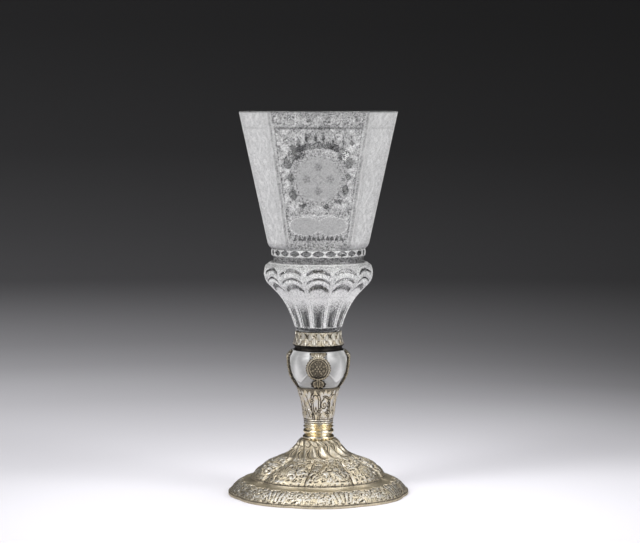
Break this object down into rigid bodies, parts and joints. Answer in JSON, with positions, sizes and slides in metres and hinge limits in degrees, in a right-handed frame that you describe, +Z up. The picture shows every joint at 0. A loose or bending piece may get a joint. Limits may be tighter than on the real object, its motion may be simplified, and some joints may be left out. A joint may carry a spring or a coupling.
{
  "type": "standing cup",
  "caption": "Cut and engraved clear-glass standing cup with a faceted flaring bowl, scale-cut shoulder, strapped glass knop and chased silver-gilt stem and foot.",
  "frame": {"origin": "on the surface it stands on, under the middle of the foot", "axes": "+Z up along the cup's axis; the broad front facet with the engraved arms looks along -Y, +X to its right"},
  "size_m": [0.1132, 0.1132, 0.2393],
  "materials": {
    "engraved_glass": "clear glass with matt wheel engraving, whitish on the facets",
    "clear_glass": "clear polished glass",
    "polished_gilt": "polished silver-gilt, pale gold",
    "chased_gilt": "chased silver-gilt, pale gold worn to silver on the high parts, dark in the hollows",
    "worn_gilt": "worn silver-gilt, greyish gold with dark hollows",
    "blackened_silver": "blackened silver, nearly black"
  },
  "bodies": {
    "root": {"glass_cup": "engraved_glass", "neck_collar": "worn_gilt", "seat_ring": "blackened_silver", "glass_knop": "clear_glass", "strap_front": "worn_gilt", "strap_right": "worn_gilt", "strap_back": "worn_gilt", "strap_left": "worn_gilt", "stem_calyx": "chased_gilt", "stem_rings": "polished_gilt", "foot": "chased_gilt"}
  },
  "joints": []
}
